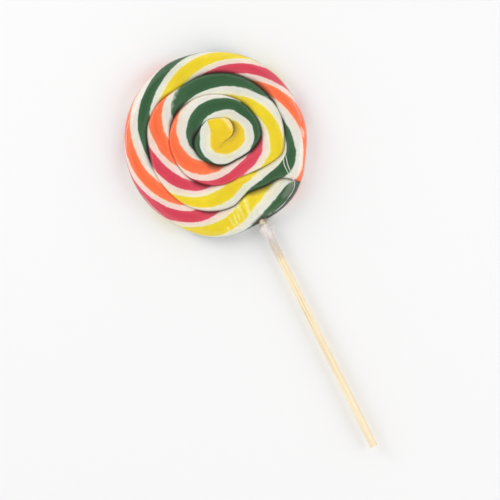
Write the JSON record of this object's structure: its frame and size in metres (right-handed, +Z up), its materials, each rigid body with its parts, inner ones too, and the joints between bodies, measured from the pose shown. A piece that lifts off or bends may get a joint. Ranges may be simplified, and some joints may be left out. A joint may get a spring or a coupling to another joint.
{
  "type": "swirl lollipop",
  "caption": "Hard candy swirl lollipop: a striped rope coiled into a flat disc on a thin wooden stick, wrapped in clear film gathered round the stick, lying flat.",
  "frame": {"origin": "middle of the disc's underside, on the surface it lies on", "axes": "+Z up out of the shown face, -Y along the stick from the disc to its free end, +X to the right of the shown face"},
  "size_m": [0.0786, 0.1881, 0.01],
  "materials": {
    "candy": "glossy boiled sugar, spiral stripes of green, yellow, red and orange on white",
    "stick": "plain pale wood, sanded",
    "film": "thin clear film, crinkled"
  },
  "bodies": {
    "root": {"candy": "candy", "stick": "stick", "film_gather": "film"}
  },
  "joints": []
}
